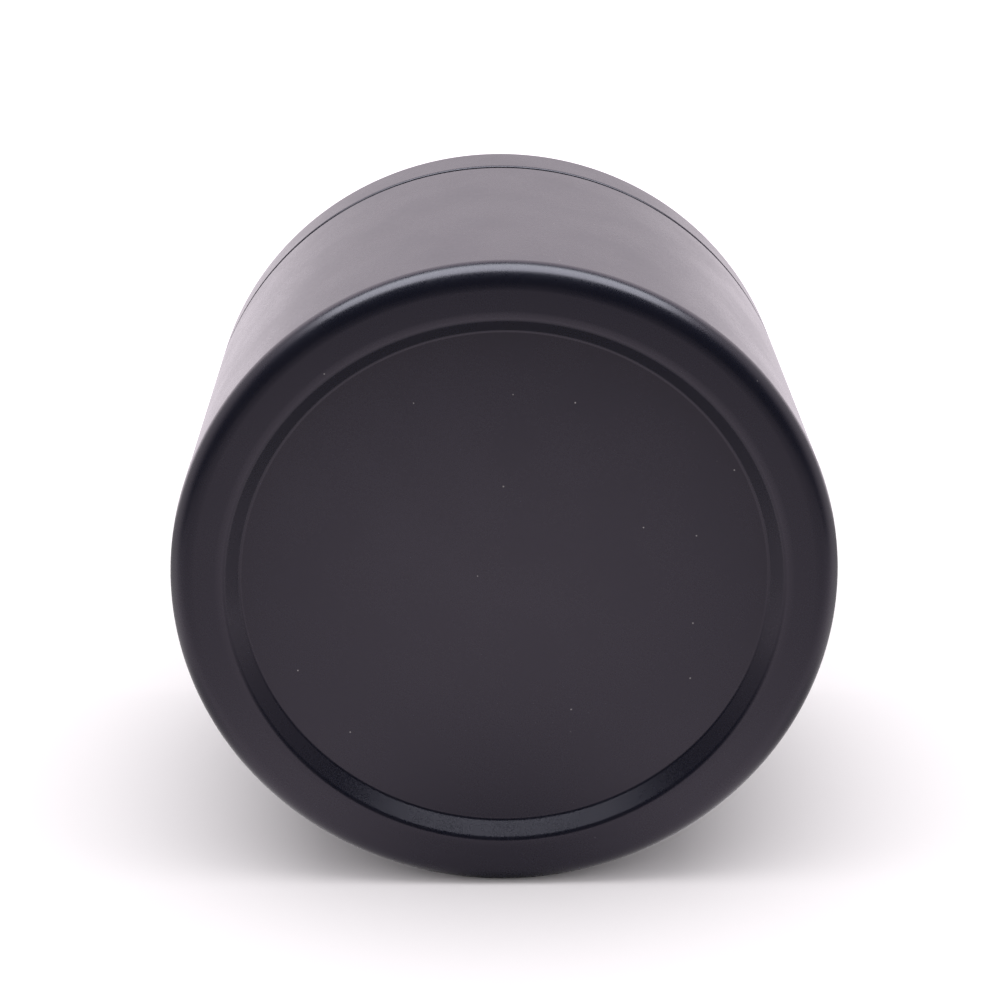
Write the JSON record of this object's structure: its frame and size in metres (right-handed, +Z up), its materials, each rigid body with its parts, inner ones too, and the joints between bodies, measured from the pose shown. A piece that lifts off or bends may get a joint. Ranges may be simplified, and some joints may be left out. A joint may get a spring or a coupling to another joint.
{
  "type": "candle tin",
  "caption": "Round seamless metal candle tin with a recessed base and a flush slip lid that lifts off a rolled rim.",
  "frame": {"origin": "centre of the standing ring's plane, under the base", "axes": "+Z up along the tin's axis, from the base towards the lid"},
  "size_m": [0.077, 0.077, 0.056],
  "materials": {
    "body_coat": "satin black coating outside, bare tinplate inside",
    "lid_coat": "satin black coating outside, bare tinplate inside"
  },
  "bodies": {
    "tin": {"tin_body": "body_coat"},
    "lid": {"lid": "lid_coat"}
  },
  "joints": [
    {"name": "lid_lift", "type": "slide", "parent": "tin", "child": "lid", "axis": [0, 0, 1], "range_m": [0, 0.03]}
  ]
}
